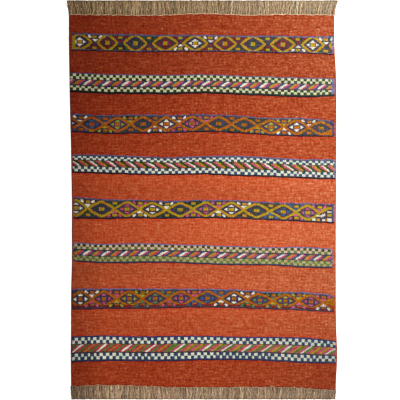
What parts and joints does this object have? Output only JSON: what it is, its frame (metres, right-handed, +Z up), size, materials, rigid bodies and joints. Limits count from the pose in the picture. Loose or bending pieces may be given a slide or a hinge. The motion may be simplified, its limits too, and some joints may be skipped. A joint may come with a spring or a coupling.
{
  "type": "kilim rug",
  "caption": "Flat-woven wool kilim rug with raised brocaded bands of lozenges and checks, wavy selvedges and a warp fringe at each end, lying flat on a floor.",
  "frame": {"origin": "centre of the rug's footprint, fringes included, on the level underside that rests on the floor", "axes": "+X across the rug's width, +Y along its length towards the head end, +Z up out of the patterned face"},
  "size_m": [1.0084, 1.4916, 0.0043],
  "materials": {
    "kilim_cloth": "matt hand-spun wool, brick red with brocaded bands in navy, cream, mustard, green and pink",
    "warp_yarn": "matt undyed greige warp yarn with a cream twining at its root"
  },
  "bodies": {
    "root": {"cloth": "kilim_cloth", "fringe_head": "warp_yarn", "fringe_foot": "warp_yarn"}
  },
  "joints": []
}
